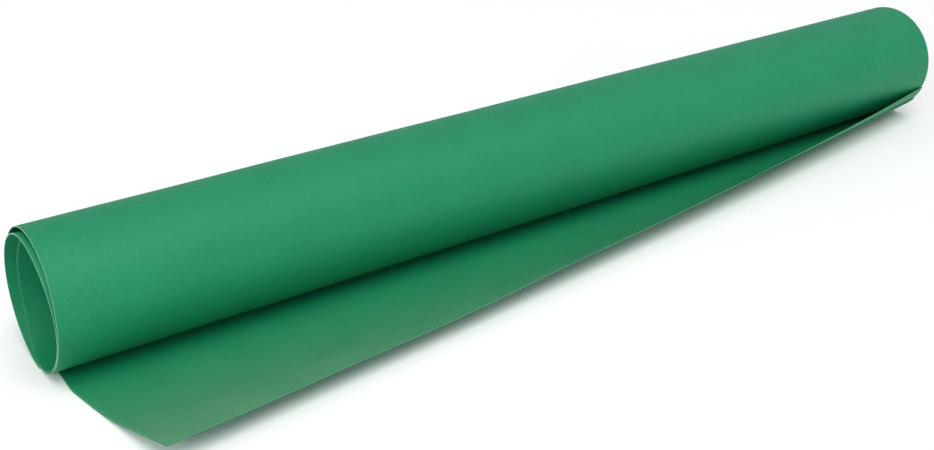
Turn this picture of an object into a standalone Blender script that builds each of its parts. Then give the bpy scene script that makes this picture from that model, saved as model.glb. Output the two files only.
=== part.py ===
"""Backdrop paper roll: two heavy paper sheets, one on the other, wound together into a loose open roll.

X runs along the roll, Z is up and the loose front flap reaches out to -Y. Each sheet starts inside the bore,
makes one and a half turns, passes under the roll and runs out in front of it as the flap. The flap's
free edge is cut on a slant, and the flap curls up more and more towards the +X end.
Each sheet is one wound piece and three flap strips, which meet on straight fold lines.
"""

import math

import bmesh
import bpy
from mathutils import Vector

# Driving dimensions, in metres and radians
LENGTH = 0.594  # along the roll
RADIUS = 0.0343  # outside of the roll
PAPER = 0.0004  # thickness of one sheet
LAYER_GAP = 0.0003  # air between layers that touch
LAYER_PITCH = PAPER + LAYER_GAP
WOUND_ANGLE = math.radians(540)  # from the flap's contact line back to the inner end
CRESCENT = 0.0024  # extra air over the outer layer, widest at the top of the roll
SPRING = 0.0012  # how far the second turn stands in from the first
INNER_PROUD = 0.0020  # the inner sheet reaches out of the -X end by this
RECESS = 0.0040  # the second turn stands in from the -X end by this
RECESS_ANGLES = (math.radians(250), math.radians(370))  # where the edge moves in
LEFT_X = INNER_PROUD / 2 - LENGTH / 2
RIGHT_X = LEFT_X + LENGTH
Y_SHIFT = 0.0354  # puts the origin under the middle of the whole object

# The flap: where it bends, how much, and how wide it is, at its two ends
FLAP_WIDTH = (3.09 * RADIUS, 1.22 * RADIUS)
BEND_START = (1.21 * RADIUS, 0.0)
BEND_END = (2.12 * RADIUS, 1.22 * RADIUS)
BEND_ANGLE = (0.22, 1.18)
CURL_POWER = 2  # how late along the roll the curl grows
SHORT_EDGE_INSET = 0.0035  # the short edge stands in from the roll's end by this
INSET_WITHIN = 0.008  # and has moved in by this distance from the contact line
SHORT_EDGE_SLANT = 0.117  # it also leans towards +X by this share of its distance
OUTER_STEP = 0.30 * RADIUS  # the outer sheet's free edge stands back by this at the +X end
OUTER_STEP_LEFT = 0.0008

# Fold lines: distance from the contact line at the -X edge, and the share at which each leaves the free edge
FOLDS = ((1.65 * RADIUS, 0.52), (2.10 * RADIUS, 0.37), (2.55 * RADIUS, 0.21))
FOLD_GAP = 0.0005
TIP_WIDTH = 0.0015  # a strip ends where it gets this narrow

# Facets
WOUND_STEPS = 54
BASE_STEPS = 10
STRIP_STEPS = 4
LONG_STEPS = 10
PROFILE_STEPS = 60


def lerp(ends, share):
    return ends[0] + (ends[1] - ends[0]) * share


def smooth(low, high, value):
    """Goes from 0 at low to 1 at high, with no corners."""
    share = min(max((value - low) / (high - low), 0.0), 1.0)
    return share * share * (3 - 2 * share)


def bump(angle):
    """0 below and in front, 1 near the top, as the turns ride up off each other."""
    turn = angle % (2 * math.pi)
    start, end = math.radians(60), math.radians(320)
    share = min(max((turn - start) / (end - start), 0.0), 1.0)
    return math.sin(math.pi * share) ** 2


def wound_radius(layer, angle):
    """Radius of a sheet's mid surface. layer is 0 for the outer sheet and 1 for the inner one."""
    radius = RADIUS - PAPER / 2 - layer * LAYER_PITCH - 2 * LAYER_PITCH * angle / (2 * math.pi)
    second_turn = angle > 2 * math.pi
    if layer == 1 or second_turn:
        radius -= CRESCENT * bump(angle)
    if second_turn:
        radius -= SPRING * math.sin(min((angle - 2 * math.pi) / 2, math.pi / 2)) ** 2
    return radius


def wound_point(layer, angle):
    """(y, z) on the wound part. The angle runs from the bottom, back and up."""
    radius = wound_radius(layer, angle)
    return radius * math.sin(angle), RADIUS - radius * math.cos(angle)


def flap_point(layer, share, distance):
    """(y, z) on the flap, at a distance along the paper from the contact line and a share of the length."""
    curl = share**CURL_POWER
    start, end, angle = lerp(BEND_START, curl), lerp(BEND_END, curl), lerp(BEND_ANGLE, curl)
    y, z, slope = 0.0, PAPER / 2, 0.0
    step = distance / PROFILE_STEPS
    for index in range(PROFILE_STEPS):
        middle = (index + 0.5) * step
        slope = angle * min(max((middle - start) / (end - start), 0.0), 1.0)
        y -= step * math.cos(slope)
        z += step * math.sin(slope)
    lift = layer * LAYER_PITCH
    return y + lift * math.sin(slope), z + lift * math.cos(slope)


def free_edge(layer, share):
    """How far the flap reaches at a share of the roll's length."""
    step = 0.0 if layer == 1 else lerp((OUTER_STEP_LEFT, OUTER_STEP), share**2)
    return lerp(FLAP_WIDTH, share) - step


def fold_line(index, share):
    """Distance of a fold line from the contact line."""
    start, leaves = FOLDS[index]
    return lerp((start, lerp(FLAP_WIDTH, leaves)), share / leaves)


def place(left_x, share, point):
    return Vector((lerp((left_x, RIGHT_X), share), point[0] + Y_SHIFT, point[1]))


def on_flap(layer, share, distance):
    """A point of the flap. Its short edge stands in from the roll's end and leans in towards the corner."""
    inset = SHORT_EDGE_INSET * smooth(0.0, INSET_WITHIN, distance)
    left_x = LEFT_X + inset + SHORT_EDGE_SLANT * distance
    return place(left_x, share, flap_point(layer, share, distance))


def on_turns(layer, share, angle):
    """A point of the turns. At the -X end the inner sheet creeps out and the second turn stands back in."""
    creep = layer * INNER_PROUD * min(angle / math.pi, 1.0)
    recess = RECESS * smooth(*RECESS_ANGLES, angle)
    return place(LEFT_X - creep + recess, share, wound_point(layer, angle))


def paper_material(name, colour):
    material = bpy.data.materials.new(name)
    material.use_nodes = True
    shader = material.node_tree.nodes["Principled BSDF"]
    shader.inputs["Base Color"].default_value = (*colour, 1.0)
    shader.inputs["Roughness"].default_value = 0.85
    shader.inputs["Metallic"].default_value = 0.0
    return material


def sheet_object(name, rows, material, origin):
    """One closed piece of paper over a grid of mid-surface points, with its origin where it hinges."""
    mesh = bmesh.new()
    grid = [[mesh.verts.new(point - origin) for point in row] for row in rows]
    for first, second in zip(grid, grid[1:]):
        for corner in range(len(first) - 1):
            mesh.faces.new((first[corner], second[corner], second[corner + 1], first[corner + 1]))
    bmesh.ops.recalc_face_normals(mesh, faces=mesh.faces)
    data = bpy.data.meshes.new(name)
    mesh.to_mesh(data)
    mesh.free()
    data.materials.append(material)
    data.shade_smooth()
    data.set_sharp_from_angle(angle=math.radians(40))
    piece = bpy.data.objects.new(name, data)
    piece.location = origin
    bpy.context.scene.collection.objects.link(piece)
    solid = piece.modifiers.new("paper", "SOLIDIFY")
    solid.thickness = PAPER
    solid.offset = 0.0
    solid.use_even_offset = True
    return piece


def wound_piece(name, layer, material):
    """The turns of the roll and the part of the flap inside the first fold line."""
    rows = []
    for station in range(LONG_STEPS + 1):
        share = station / LONG_STEPS
        row = []
        for step in range(WOUND_STEPS):
            angle = WOUND_ANGLE * (1 - step / WOUND_STEPS)
            row.append(on_turns(layer, share, angle))
        reach = min(fold_line(0, share) - FOLD_GAP / 2, free_edge(layer, share))
        for step in range(BASE_STEPS + 1):
            row.append(on_flap(layer, share, reach * step / BASE_STEPS))
        rows.append(row)
    return sheet_object(name, rows, material, Vector((0.0, Y_SHIFT, 0.0)))


def strip_limits(layer, index, share):
    """Distances at which a strip starts and ends, at a share of the roll's length."""
    near = fold_line(index, share) + FOLD_GAP / 2
    far = free_edge(layer, share)
    if index + 1 < len(FOLDS):
        far = min(far, fold_line(index + 1, share) - FOLD_GAP / 2)
    return near, far


def strip_reach(layer, index):
    """The share of the length at which a strip gets too narrow to go on."""
    low, high = 0.0, 1.0
    for _ in range(40):
        middle = (low + high) / 2
        near, far = strip_limits(layer, index, middle)
        low, high = (middle, high) if far - near > TIP_WIDTH else (low, middle)
    return low


def hinge_point(index):
    """Where a fold line meets the -X edge, between the two sheets."""
    return (on_flap(0, 0.0, FOLDS[index][0]) + on_flap(1, 0.0, FOLDS[index][0])) / 2


def strip_piece(name, layer, index, material):
    """A strip of the flap from one fold line to the next, or to the free edge."""
    reach = strip_reach(layer, index)
    rows = []
    for station in range(LONG_STEPS + 1):
        share = reach * station / LONG_STEPS
        near, far = strip_limits(layer, index, share)
        rows.append(
            [on_flap(layer, share, lerp((near, far), step / STRIP_STEPS)) for step in range(STRIP_STEPS + 1)]
        )
    return sheet_object(name, rows, material, hinge_point(index))


def build_sheet(prefix, layer, colour):
    material = paper_material(prefix + "_paper", colour)
    wound_piece(prefix + "_sheet_roll", layer, material)
    for index in range(len(FOLDS)):
        strip_piece(f"{prefix}_sheet_flap_{index + 1}", layer, index, material)


def main():
    for item in list(bpy.data.objects):
        bpy.data.objects.remove(item)
    build_sheet("outer", 0, (0.040, 0.235, 0.115))
    build_sheet("inner", 1, (0.045, 0.250, 0.122))


main()
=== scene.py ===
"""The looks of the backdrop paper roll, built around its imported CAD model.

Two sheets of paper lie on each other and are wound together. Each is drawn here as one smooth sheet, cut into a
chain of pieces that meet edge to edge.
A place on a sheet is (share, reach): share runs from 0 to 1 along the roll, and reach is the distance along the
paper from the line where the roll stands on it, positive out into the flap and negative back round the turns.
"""

import math

import bmesh
import bpy
import numpy as np
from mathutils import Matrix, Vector


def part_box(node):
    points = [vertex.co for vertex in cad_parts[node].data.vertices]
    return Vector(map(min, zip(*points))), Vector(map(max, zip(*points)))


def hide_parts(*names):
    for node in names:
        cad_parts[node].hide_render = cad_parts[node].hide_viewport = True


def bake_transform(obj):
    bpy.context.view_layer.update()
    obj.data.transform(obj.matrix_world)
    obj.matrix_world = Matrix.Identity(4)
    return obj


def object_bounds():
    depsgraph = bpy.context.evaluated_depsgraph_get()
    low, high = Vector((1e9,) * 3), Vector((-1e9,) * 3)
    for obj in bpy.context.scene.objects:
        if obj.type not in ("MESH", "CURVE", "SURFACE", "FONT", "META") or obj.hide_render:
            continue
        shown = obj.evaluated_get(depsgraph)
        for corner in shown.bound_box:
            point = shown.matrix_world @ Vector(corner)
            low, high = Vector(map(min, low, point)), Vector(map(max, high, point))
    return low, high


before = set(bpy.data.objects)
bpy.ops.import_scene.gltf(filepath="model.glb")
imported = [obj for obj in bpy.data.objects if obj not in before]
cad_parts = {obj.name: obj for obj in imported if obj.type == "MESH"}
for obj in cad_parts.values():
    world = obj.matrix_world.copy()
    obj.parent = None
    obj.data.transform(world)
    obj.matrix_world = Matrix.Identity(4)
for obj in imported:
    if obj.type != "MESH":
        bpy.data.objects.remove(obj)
cad_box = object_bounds()

# The sheets' shape, in metres and radians, as the CAD part has it
LENGTH = 0.594  # along the roll
RADIUS = 0.0343  # outside of the roll
PAPER = 0.0004  # thickness of one sheet
LAYER_PITCH = 0.0007
WOUND_ANGLE = math.radians(540)
CRESCENT = 0.0024
CRESCENT_FROM, CRESCENT_TO = math.radians(60), math.radians(320)
SPRING = 0.0012
INNER_PROUD = 0.0020
RECESS = 0.0040
RECESS_FROM, RECESS_TO = math.radians(345), math.radians(430)
CREEP_BACK_FROM, CREEP_BACK_TO = math.radians(200), math.radians(290)
CONE = 0.028
RIM_BASE = -0.0013
RIM_LEAN = 0.0033
LEFT_X = INNER_PROUD / 2 - LENGTH / 2
RIGHT_X = LEFT_X + LENGTH
Y_SHIFT = 0.0354
FLAP_WIDTH = (3.09 * RADIUS, 1.22 * RADIUS)
BEND_START = (1.21 * RADIUS, 0.0)
BEND_END = (2.12 * RADIUS, 1.22 * RADIUS)
BEND_ANGLE = (0.22, 1.18)
CURL_POWER = 2
NOTCH = 0.0032
NOTCH_IN = (0.0, 0.004)
NOTCH_OUT = (0.006, 0.030)
SHORT_EDGE_SLANT = 0.15
OUTER_STEP = (0.0008, 0.30 * RADIUS)
FOLDS = ((1.65 * RADIUS, 0.52), (2.10 * RADIUS, 0.37), (2.55 * RADIUS, 0.21))

OUTER, INNER = 0, 1
TURN = 2 * math.pi
INNER_END = -WOUND_ANGLE * RADIUS

# Facets
TURN_STEPS = 216
FLAP_STEPS = 56
STATIONS = 84


def lerp(low, high, share):
    return low + (high - low) * share


def smooth(low, high, value):
    share = np.clip((value - low) / (high - low), 0, 1)
    return share * share * (3 - 2 * share)


# ---------------------------------------------------------------- shape of a sheet


def turn_radius(layer, angle):
    """Radius of a sheet's middle at an angle wound back from the contact line."""
    share = np.clip((angle % TURN - CRESCENT_FROM) / (CRESCENT_TO - CRESCENT_FROM), 0, 1)
    crescent = CRESCENT * np.sin(np.pi * share) ** 2
    spring = SPRING * np.sin(np.clip((angle - TURN) / 2, 0, np.pi / 2)) ** 2
    radius = RADIUS - PAPER / 2 - layer * LAYER_PITCH - 2 * LAYER_PITCH * angle / TURN
    return radius - np.where((angle > TURN) | (layer == INNER), crescent, 0) - spring


def flap_profile(share, distance):
    """(y, z, slope) of the flap: flat, then bent to an arc, then straight."""
    curl = share**CURL_POWER
    start, end, angle = lerp(*BEND_START, curl), lerp(*BEND_END, curl), lerp(*BEND_ANGLE, curl)
    radius = (end - start) / angle
    slope = np.clip(distance - start, 0, end - start) / radius
    beyond = np.maximum(distance - end, 0)
    y = -np.minimum(distance, start) - radius * np.sin(slope) - beyond * np.cos(angle)
    z = PAPER / 2 + radius * (1 - np.cos(slope)) + beyond * np.sin(angle)
    return y, z, slope


def short_edge(distance):
    """How far the flap's -X edge stands in: a shallow notch by the roll, then a steady lean to the corner."""
    notch = NOTCH * smooth(*NOTCH_IN, distance) * (1 - smooth(*NOTCH_OUT, distance))
    return RIM_BASE * (1 - smooth(*NOTCH_IN, distance)) + notch + SHORT_EDGE_SLANT * distance


def rim(layer, angle):
    """How far a turn's -X edge stands in: the end of the roll leans, and the second turn is pushed in."""
    lean = RIM_BASE + RIM_LEAN * (1 - np.cos(angle)) / 2
    creep = INNER_PROUD * smooth(0, np.pi, angle) * (1 - smooth(CREEP_BACK_FROM, CREEP_BACK_TO, angle))
    return lean - layer * creep + RECESS * smooth(RECESS_FROM, RECESS_TO, angle)


def middle(layer, share, reach):
    """Points on the middle of a sheet."""
    distance, angle = np.maximum(reach, 0), np.maximum(-reach, 0) / RADIUS
    y, z, slope = flap_profile(share, distance)
    lift = layer * LAYER_PITCH
    grown = RADIUS * CONE * share
    radius = turn_radius(layer, angle) + grown
    on_flap = reach >= 0
    y = np.where(on_flap, y + lift * np.sin(slope), radius * np.sin(angle))
    z = np.where(on_flap, z + lift * np.cos(slope), RADIUS + grown - radius * np.cos(angle))
    left_x = LEFT_X + np.where(on_flap, short_edge(distance), rim(layer, angle))
    return np.stack([lerp(left_x, RIGHT_X, share), y + Y_SHIFT, z], axis=-1)


def upwards(layer, share, reach):
    """Unit normals: up from the flap, and in towards the bore on the turns."""
    small = 1e-5
    along = middle(layer, share + small, reach) - middle(layer, share - small, reach)
    across = middle(layer, share, reach + small) - middle(layer, share, reach - small)
    normal = np.cross(across, along)
    return normal / np.linalg.norm(normal, axis=-1, keepdims=True)


def ripple(share, reach):
    """The faint waves of real paper. Both sheets have the same ones, so that they stay apart."""
    x = share * LENGTH
    wave = np.sin(TURN * x / 0.243 + 0.7) + 0.6 * np.sin(TURN * x / 0.131 + 2.1 + 9 * reach)
    loose = smooth(0.045, 0.10, reach) * (1 - smooth(0.35, 0.75, share))
    turn = np.maximum(-reach, 0) / RADIUS % TURN
    round_it = smooth(0.5, 1.5, turn) * (1 - smooth(4.6, 5.6, turn))
    wound = np.sin(TURN * x / 0.187 + 1.9 + 1.3 * turn) + 0.5 * np.sin(TURN * x / 0.083 + 3 * turn)
    return 0.00035 * loose * wave + 0.00006 * round_it * wound


def free_edge(layer, share):
    step = 0 if layer == INNER else lerp(*OUTER_STEP, share**2)
    return lerp(*FLAP_WIDTH, share) - step


def fold_line(index, share):
    start, leaves = FOLDS[index]
    return lerp(start, lerp(*FLAP_WIDTH, leaves), share / leaves)


def cut_line(where, share):
    """A line on the flap where two pieces meet. where is 0.4 for a line 0.4 of the way from fold 0 to fold 1."""
    index = int(where)
    return lerp(fold_line(index, share), fold_line(index + 1, share), where - index)


def leaves_edge(layer, where):
    """The share at which a cut line runs out of the free edge."""
    low, high = 0.0, 1.0
    for _ in range(50):
        share = (low + high) / 2
        low, high = (share, high) if cut_line(where, share) < free_edge(layer, share) else (low, share)
    return low


# ---------------------------------------------------------------- pieces of paper


def stations(marks):
    """Shares along the roll, closer together at the ends, with one at each mark."""
    even = np.linspace(0, 1, STATIONS + 1)
    ends = np.array([0.0008, 0.002, 0.004])
    shares = np.unique(np.round(np.concatenate([even, ends, 1 - ends, marks]), 12))
    gaps = np.diff(shares)
    crowded = {i + 1 for i in np.nonzero(gaps < 0.0006)[0]}
    kept = [s for i, s in enumerate(shares) if i not in crowded or s in np.round(marks, 12)]
    return np.array(kept)


def reach_grid(layer, shares, first, last):
    """The places of a piece's points, and which stations end on the free edge."""
    edge = free_edge(layer, shares)
    end = edge if last is None else np.minimum(cut_line(last, shares), edge)
    at_edge = end >= edge - 1e-9
    if first is None:
        turns = np.linspace(INNER_END, 0, TURN_STEPS + 1)[:-1]
        flap = end[:, None] * np.linspace(0, 1, FLAP_STEPS + 1)
        return np.concatenate([np.tile(turns, (len(shares), 1)), flap], axis=1), at_edge
    start = np.minimum(cut_line(first, shares), end)
    steps = max(4, int(round((end - start).max() / 0.0011)))
    return lerp(start[:, None], end[:, None], np.linspace(0, 1, steps + 1)), at_edge


def face_lists(rows, columns, at_edge, starts_cut):
    """Faces of a closed slab over a grid, and which of them are cut edges of the sheet."""
    count = rows * columns
    ids = np.arange(count).reshape(rows, columns)
    a, b, c, d = ids[:-1, :-1], ids[:-1, 1:], ids[1:, 1:], ids[1:, :-1]
    top = np.stack([a, b, c, d], -1).reshape(-1, 4)
    faces, cut = [top, top[:, ::-1] + count], [np.zeros(2 * len(top), bool)]

    def rim(line, is_cut):
        p, q = line[:-1], line[1:]
        faces.append(np.stack([p, q, q + count, p + count], -1))
        cut.append(np.broadcast_to(is_cut, len(p)))

    rim(ids[:, 0], starts_cut)
    rim(ids[::-1, -1], (at_edge[:-1] & at_edge[1:])[::-1])
    rim(ids[0, ::-1], True)
    rim(ids[-1], True)
    return np.concatenate(faces), np.concatenate(cut)


def edge_distance(layer, share, reach):
    """How far each point is from the nearest cut edge of its sheet."""
    free = free_edge(layer, share) - reach
    return np.minimum.reduce([share * LENGTH, (1 - share) * LENGTH, free, reach - INNER_END])


def paper_piece(name, layer, marks, first, last, materials):
    """A closed piece of a sheet from one cut line to another. None stands for the sheet's own edge."""
    shares = stations(marks)
    if first is not None:
        shares = shares[shares <= leaves_edge(layer, first) + 1e-9]
    reach, at_edge = reach_grid(layer, shares, first, last)
    share = shares[:, None] + 0 * reach
    normal = upwards(layer, share, reach)
    centre = middle(layer, share, reach) + normal * ripple(share, reach)[..., None]
    sides = [centre + normal * PAPER / 2, centre - normal * PAPER / 2]
    faces, cut = face_lists(*reach.shape, at_edge, first is None)
    mesh = bpy.data.meshes.new(name)
    mesh.from_pydata(np.concatenate([s.reshape(-1, 3) for s in sides]), [], faces.tolist())
    for material in materials:
        mesh.materials.append(material)
    mesh.polygons.foreach_set("material_index", cut.astype(np.int32))
    place = np.stack([share * LENGTH, reach, 0 * reach], -1).reshape(-1, 3)
    other_side = place + np.array([0, 0, 1.0])
    add_attribute(mesh, "paper_place", "FLOAT_VECTOR", np.concatenate([place, other_side]))
    add_attribute(mesh, "edge_distance", "FLOAT", np.tile(edge_distance(layer, share, reach).ravel(), 2))
    return finished(name, mesh)


def add_attribute(mesh, name, kind, values):
    attribute = mesh.attributes.new(name, kind, "POINT")
    attribute.data.foreach_set("vector" if kind == "FLOAT_VECTOR" else "value", values.astype(np.float32).ravel())


def finished(name, mesh):
    """The object, with the points of a pointed tip made one."""
    work = bmesh.new()
    work.from_mesh(mesh)
    bmesh.ops.remove_doubles(work, verts=work.verts, dist=1e-6)
    work.to_mesh(mesh)
    work.free()
    mesh.shade_smooth()
    mesh.set_sharp_from_angle(angle=math.radians(40))
    piece = bpy.data.objects.new(name, mesh)
    bpy.context.scene.collection.objects.link(piece)
    return piece


# ---------------------------------------------------------------- materials


def new_material(name):
    material = bpy.data.materials.new(name)
    material.use_nodes = True
    return material, material.node_tree.nodes["Principled BSDF"]


class Nodes:
    """Short calls for a node tree. A value is a number, a tuple or another node's output."""

    def __init__(self, material):
        self.tree = material.node_tree

    def add(self, kind, inputs=(), output=0, **settings):
        node = self.tree.nodes.new("ShaderNode" + kind)
        for key, value in settings.items():
            setattr(node, key, value)
        for key, value in dict(inputs).items():
            self.put(node.inputs[key], value)
        return node.outputs[output]

    def put(self, socket, value):
        if isinstance(value, bpy.types.NodeSocket):
            self.tree.links.new(value, socket)
        else:
            socket.default_value = value

    def noise(self, vector, scale, detail=2.0, roughness=0.5):
        inputs = {"Vector": vector, "Scale": scale, "Detail": detail, "Roughness": roughness}
        return self.add("TexNoise", inputs)

    def remap(self, value, low, high, to_low, to_high):
        inputs = {"Value": value, "From Min": low, "From Max": high, "To Min": to_low, "To Max": to_high}
        return self.add("MapRange", inputs)

    def mix(self, factor, first, second, blend="MIX"):
        node = self.tree.nodes.new("ShaderNodeMix")
        node.data_type, node.blend_type = "RGBA", blend
        self.put(node.inputs[0], factor)
        self.put(node.inputs[6], first)
        self.put(node.inputs[7], second)
        return node.outputs[2]

    def math(self, operation, first, second=0.0):
        return self.add("Math", {0: first, 1: second}, operation=operation)

    def stretched(self, vector, scale, turn=0.0):
        inputs = {"Vector": vector, "Scale": scale, "Rotation": (0, 0, turn)}
        return self.add("Mapping", inputs)


def paper_material(name, colour, pale, sheen_strength):
    """Uncoated dyed paper: cloudy formation, fine fibres, a painted sheen on the flap's upper face towards its free
    edge and -X corner, and worn edges.
    """
    material, shader = new_material(name)
    n = Nodes(material)
    place = n.add("Attribute", attribute_name="paper_place", output="Vector")
    edge = n.add("Attribute", attribute_name="edge_distance", output="Fac")
    cloud = n.noise(place, 38.0, 3.0, 0.55)
    mottle = n.noise(place, 330.0, 3.0, 0.6)
    grain = n.noise(place, 2100.0, 2.0, 0.6)
    fibre = n.noise(n.stretched(place, (380.0, 3200.0, 1.0), 0.5), 1.0, 2.0, 0.7)
    cross_fibre = n.noise(n.stretched(place, (3000.0, 420.0, 1.0), 0.35), 1.0, 2.0, 0.7)
    dark = tuple(c * 0.90 for c in colour) + (1.0,)
    light = tuple(c * 1.10 for c in colour) + (1.0,)
    depth = n.math("ADD", n.remap(cloud, 0.3, 0.7, 0.0, 0.45), n.remap(mottle, 0.3, 0.7, 0.0, 0.30))
    depth = n.math("ADD", depth, n.remap(grain, 0.3, 0.7, 0.0, 0.25))
    body = n.mix(depth, dark, light)
    across = n.add("SeparateXYZ", {"Vector": place}, output=1)
    along = n.add("SeparateXYZ", {"Vector": place}, output=0)
    # Painted sheen: the flap's upper face is tinted paler and more olive out towards its free edge and its -X
    # corner; the underside is left out.
    painted_sheen = n.math("MULTIPLY", n.remap(across, 0.020, 0.105, 0.0, sheen_strength), n.remap(along, 0.04, 0.42, 1.0, 0.28))
    painted_sheen = n.math("MULTIPLY", painted_sheen, n.remap(cloud, 0.3, 0.7, 0.85, 1.15))
    underneath = n.add("SeparateXYZ", {"Vector": place}, output=2)
    painted_sheen = n.math("MULTIPLY", painted_sheen, n.remap(underneath, 0.0, 0.5, 1.0, 0.0))
    body = n.mix(painted_sheen, body, (*SHEEN_TINT, 1.0))
    strands = n.math("ADD", n.remap(fibre, 0.62, 0.75, 0.0, 0.12), n.remap(cross_fibre, 0.62, 0.75, 0.0, 0.12))
    body = n.mix(strands, body, (*pale, 1.0))
    ragged = n.math("ADD", edge, n.remap(mottle, 0.3, 0.7, -0.0003, 0.0003))
    worn = n.remap(ragged, 0.0001, 0.0005, 0.12, 0.0)
    n.put(shader.inputs["Base Color"], n.mix(worn, body, (*pale, 1.0)))
    n.put(shader.inputs["Roughness"], n.remap(grain, 0.25, 0.75, 0.52, 0.62))
    shader.inputs["Specular IOR Level"].default_value = 0.40
    height = n.math("ADD", n.math("MULTIPLY", grain, 0.5), n.math("MULTIPLY", mottle, 0.8))
    height = n.math("ADD", height, n.math("MULTIPLY", fibre, 0.4))
    height = n.math("ADD", height, n.math("MULTIPLY", cross_fibre, 0.4))
    bump = n.add("Bump", {"Height": height, "Distance": 0.00006, "Strength": 0.55})
    n.put(shader.inputs["Normal"], bump)
    return material


def cut_material(name, colour, flap_and_bore_shade_colour):
    """The cut edge, with the fine layers of pressed fibre. It is paler round the roll than on the flap, and darker
    on the deeper turn inside the bore, which is painted shade.
    """
    material, shader = new_material(name)
    n = Nodes(material)
    place = n.add("Attribute", attribute_name="paper_place", output="Vector")
    layers = n.noise(n.stretched(place, (500.0, 500.0, 9.0)), 1.0, 3.0, 0.7)
    specks = n.noise(place, 1800.0, 2.0, 0.6)
    across = n.add("SeparateXYZ", {"Vector": place}, output=1)
    on_flap = n.remap(across, -0.004, 0.008, 0.0, 1.0)
    # Painted shade: the cut edge of the deeper turn, recessed inside the bore, takes the darker flap colour.
    second_turn_shade = n.remap(across, -0.195, -0.180, 1.0, 0.0)
    base = n.mix(n.math("MAXIMUM", on_flap, second_turn_shade), (*colour, 1.0), (*flap_and_bore_shade_colour, 1.0))
    mixed = n.math("ADD", n.math("MULTIPLY", layers, 0.6), n.math("MULTIPLY", specks, 0.4))
    strength = n.remap(mixed, 0.3, 0.7, 0.82, 1.12)
    grey = n.add("CombineXYZ", {"X": strength, "Y": strength, "Z": strength})
    n.put(shader.inputs["Base Color"], n.mix(1.0, base, grey, "MULTIPLY"))
    n.put(shader.inputs["Roughness"], n.remap(specks, 0.3, 0.7, 0.78, 0.92))
    bump = n.add("Bump", {"Height": mixed, "Distance": 0.00005, "Strength": 0.6})
    n.put(shader.inputs["Normal"], bump)
    return material


def floor_material():
    material, shader = new_material("studio_floor")
    n = Nodes(material)
    position = n.add("TexCoord", output="Object")
    soft = n.noise(position, 3.0, 2.0, 0.5)
    n.put(shader.inputs["Base Color"], n.mix(n.remap(soft, 0.3, 0.7, 0.0, 1.0), FLOOR_LOW, FLOOR_HIGH))
    n.put(shader.inputs["Roughness"], n.remap(soft, 0.3, 0.7, 0.85, 0.95))
    return material


# ---------------------------------------------------------------- joints


def bend_at(piece, joint_name):
    """Bakes a piece's transform into its mesh. The fold's place and direction are worked out from joint_name but
    not used; nothing is blended.
    """
    index = 0 if joint_name in ("flap_curl", "top_sheet_lift") else int(joint_name[-1]) - 1
    share = np.array(FOLDS[index][1] / 2)
    here = fold_line(index, share)
    tangent = Vector(middle(OUTER, share, here + 0.004) - middle(OUTER, share, here))
    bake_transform(piece)


# ---------------------------------------------------------------- stage

FLOOR_LOW, FLOOR_HIGH = (0.92, 0.92, 0.92, 1.0), (0.95, 0.95, 0.95, 1.0)
CAMERA_AZIMUTH = math.radians(-35.88)
CAMERA_ELEVATION = math.radians(25.33)
CAMERA_DISTANCE = 0.6136
CAMERA_LENS = 47.70
SENSOR_WIDTH = 36.0


def look_from(item, place, target):
    item.location = place
    item.rotation_mode = "QUATERNION"
    item.rotation_quaternion = (target - place).to_track_quat("-Z", "Y")


def make_camera(target):
    data = bpy.data.cameras.new("camera")
    data.sensor_fit = "HORIZONTAL"
    data.sensor_width = SENSOR_WIDTH
    data.lens = CAMERA_LENS
    data.clip_start = 0.01
    camera = bpy.data.objects.new("camera", data)
    bpy.context.scene.collection.objects.link(camera)
    level = math.cos(CAMERA_ELEVATION)
    back = Vector((math.sin(CAMERA_AZIMUTH) * level, -math.cos(CAMERA_AZIMUTH) * level, math.sin(CAMERA_ELEVATION)))
    look_from(camera, target + back * CAMERA_DISTANCE, target)
    bpy.context.scene.camera = camera


def area_light(name, place, target, size, power, colour):
    data = bpy.data.lights.new(name, "AREA")
    data.shape = "DISK"
    data.size = size
    data.energy = power
    data.color = colour
    light = bpy.data.objects.new(name, data)
    bpy.context.scene.collection.objects.link(light)
    look_from(light, place, target)


def key_light(place, strength, angle, colour):
    """A broad far softbox that lights the whole floor evenly."""
    data = bpy.data.lights.new("key_light", "SUN")
    data.energy = strength
    data.angle = angle
    data.color = colour
    light = bpy.data.objects.new("key_light", data)
    bpy.context.scene.collection.objects.link(light)
    look_from(light, place, Vector((0.0, 0.0, 0.0)))


def make_floor(height):
    size = 6.0
    corners = [(-size, -size, height), (size, -size, height), (size, size, height), (-size, size, height)]
    mesh = bpy.data.meshes.new("floor")
    mesh.from_pydata(corners, [], [(0, 1, 2, 3)])
    mesh.materials.append(floor_material())
    floor = bpy.data.objects.new("floor", mesh)
    bpy.context.scene.collection.objects.link(floor)


def make_world():
    world = bpy.data.worlds.new("studio")
    world.use_nodes = True
    background = world.node_tree.nodes["Background"]
    background.inputs["Color"].default_value = (0.95, 1.0, 1.06, 1.0)
    background.inputs["Strength"].default_value = 0.575
    bpy.context.scene.world = world


# ---------------------------------------------------------------- the object

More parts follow.
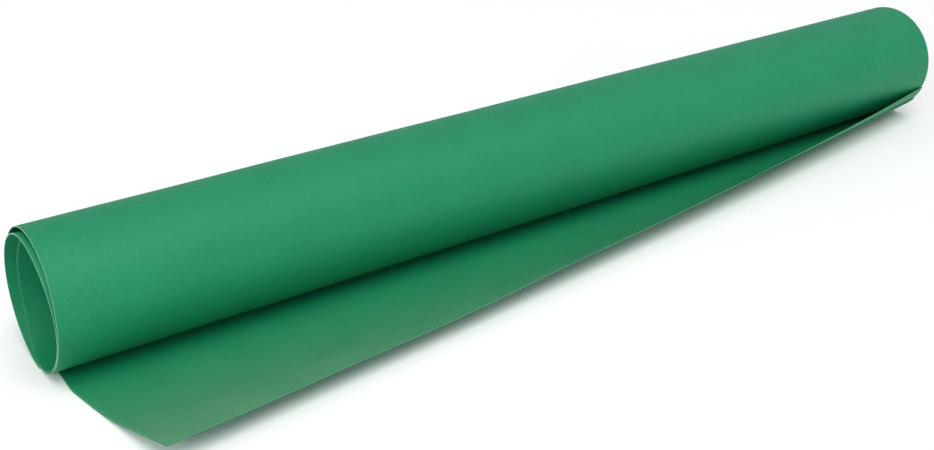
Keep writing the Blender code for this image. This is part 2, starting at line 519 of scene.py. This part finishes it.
low, high = cad_box
roll_low, roll_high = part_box("outer_sheet_roll")
roll_axis = Vector(((roll_low.x + roll_high.x) / 2, Y_SHIFT, RADIUS))
target = Vector((roll_axis.x - 2.799 * RADIUS, roll_axis.y - 1.422 * RADIUS, roll_axis.z))
make_camera(target)
make_floor(low.z)
make_world()
key_light(Vector((-0.15, -0.72, 1.55)), 1.61, math.radians(45), (1.0, 0.97, 0.90))
FILL_PLACE = Vector((-1.35, -0.55, 0.55))
area_light("fill_softbox", FILL_PLACE, Vector((-0.2, 0.0, 0.0)), 0.9, 8.5, (0.97, 1.0, 1.0))

# Painted sheen colour for the flap's upper face.
SHEEN_TINT = (0.082, 0.262, 0.135)
PALE = (0.30, 0.54, 0.38)
# Darker cut-edge colour for the flap, also used as painted shade on the deeper turn's cut edge inside the bore.
FLAP_CUT_AND_BORE_SHADE = (0.06, 0.27, 0.14)
# Only the inner sheet, which lies on top on the flap, gets the painted sheen (last argument 1.0).
outer_paper = [paper_material("outer_paper", (0.0015, 0.216, 0.091), PALE, 0.0), cut_material("outer_cut_edge", PALE, FLAP_CUT_AND_BORE_SHADE)]
inner_paper = [paper_material("inner_paper", (0.0020, 0.219, 0.092), PALE, 1.0), cut_material("inner_cut_edge", PALE, FLAP_CUT_AND_BORE_SHADE)]

# Where each sheet is cut into pieces, in folds: 0.85 is just short of the second fold line
AFTER_BEND, BEFORE_SECOND, BEFORE_THIRD = 0.45, 0.86, 1.86


def build_sheet(layer, prefix, materials, cuts):
    """The chain of pieces of one sheet, from its inner end to its free edge."""
    marks = [leaves_edge(layer, cut) for cut in cuts]
    limits = [None, *cuts, None]
    names = ["turns", "lift", "middle", "corner"] if len(cuts) == 3 else ["turns", "middle", "corner"]
    return [
        paper_piece(f"{prefix}_paper_{name}", layer, marks, first, last, materials)
        for name, first, last in zip(names, limits, limits[1:])
    ]


outer = build_sheet(OUTER, "outer", outer_paper, [BEFORE_SECOND, BEFORE_THIRD])
inner = build_sheet(INNER, "inner", inner_paper, [AFTER_BEND, BEFORE_SECOND, BEFORE_THIRD])

bend_at(outer[0], "flap_curl")
bend_at(outer[1], "outer_fold_2")
bend_at(outer[2], "outer_fold_3")
bend_at(inner[0], "flap_curl")
bend_at(inner[1], "top_sheet_lift")
bend_at(inner[2], "inner_fold_2")
bend_at(inner[3], "inner_fold_3")

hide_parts("outer_sheet_roll", "outer_sheet_flap_1")
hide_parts("outer_sheet_flap_2")
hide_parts("outer_sheet_flap_3")
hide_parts("inner_sheet_roll")
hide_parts("inner_sheet_flap_1")
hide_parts("inner_sheet_flap_2")
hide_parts("inner_sheet_flap_3")

bpy.context.scene.view_settings.view_transform = "Standard"
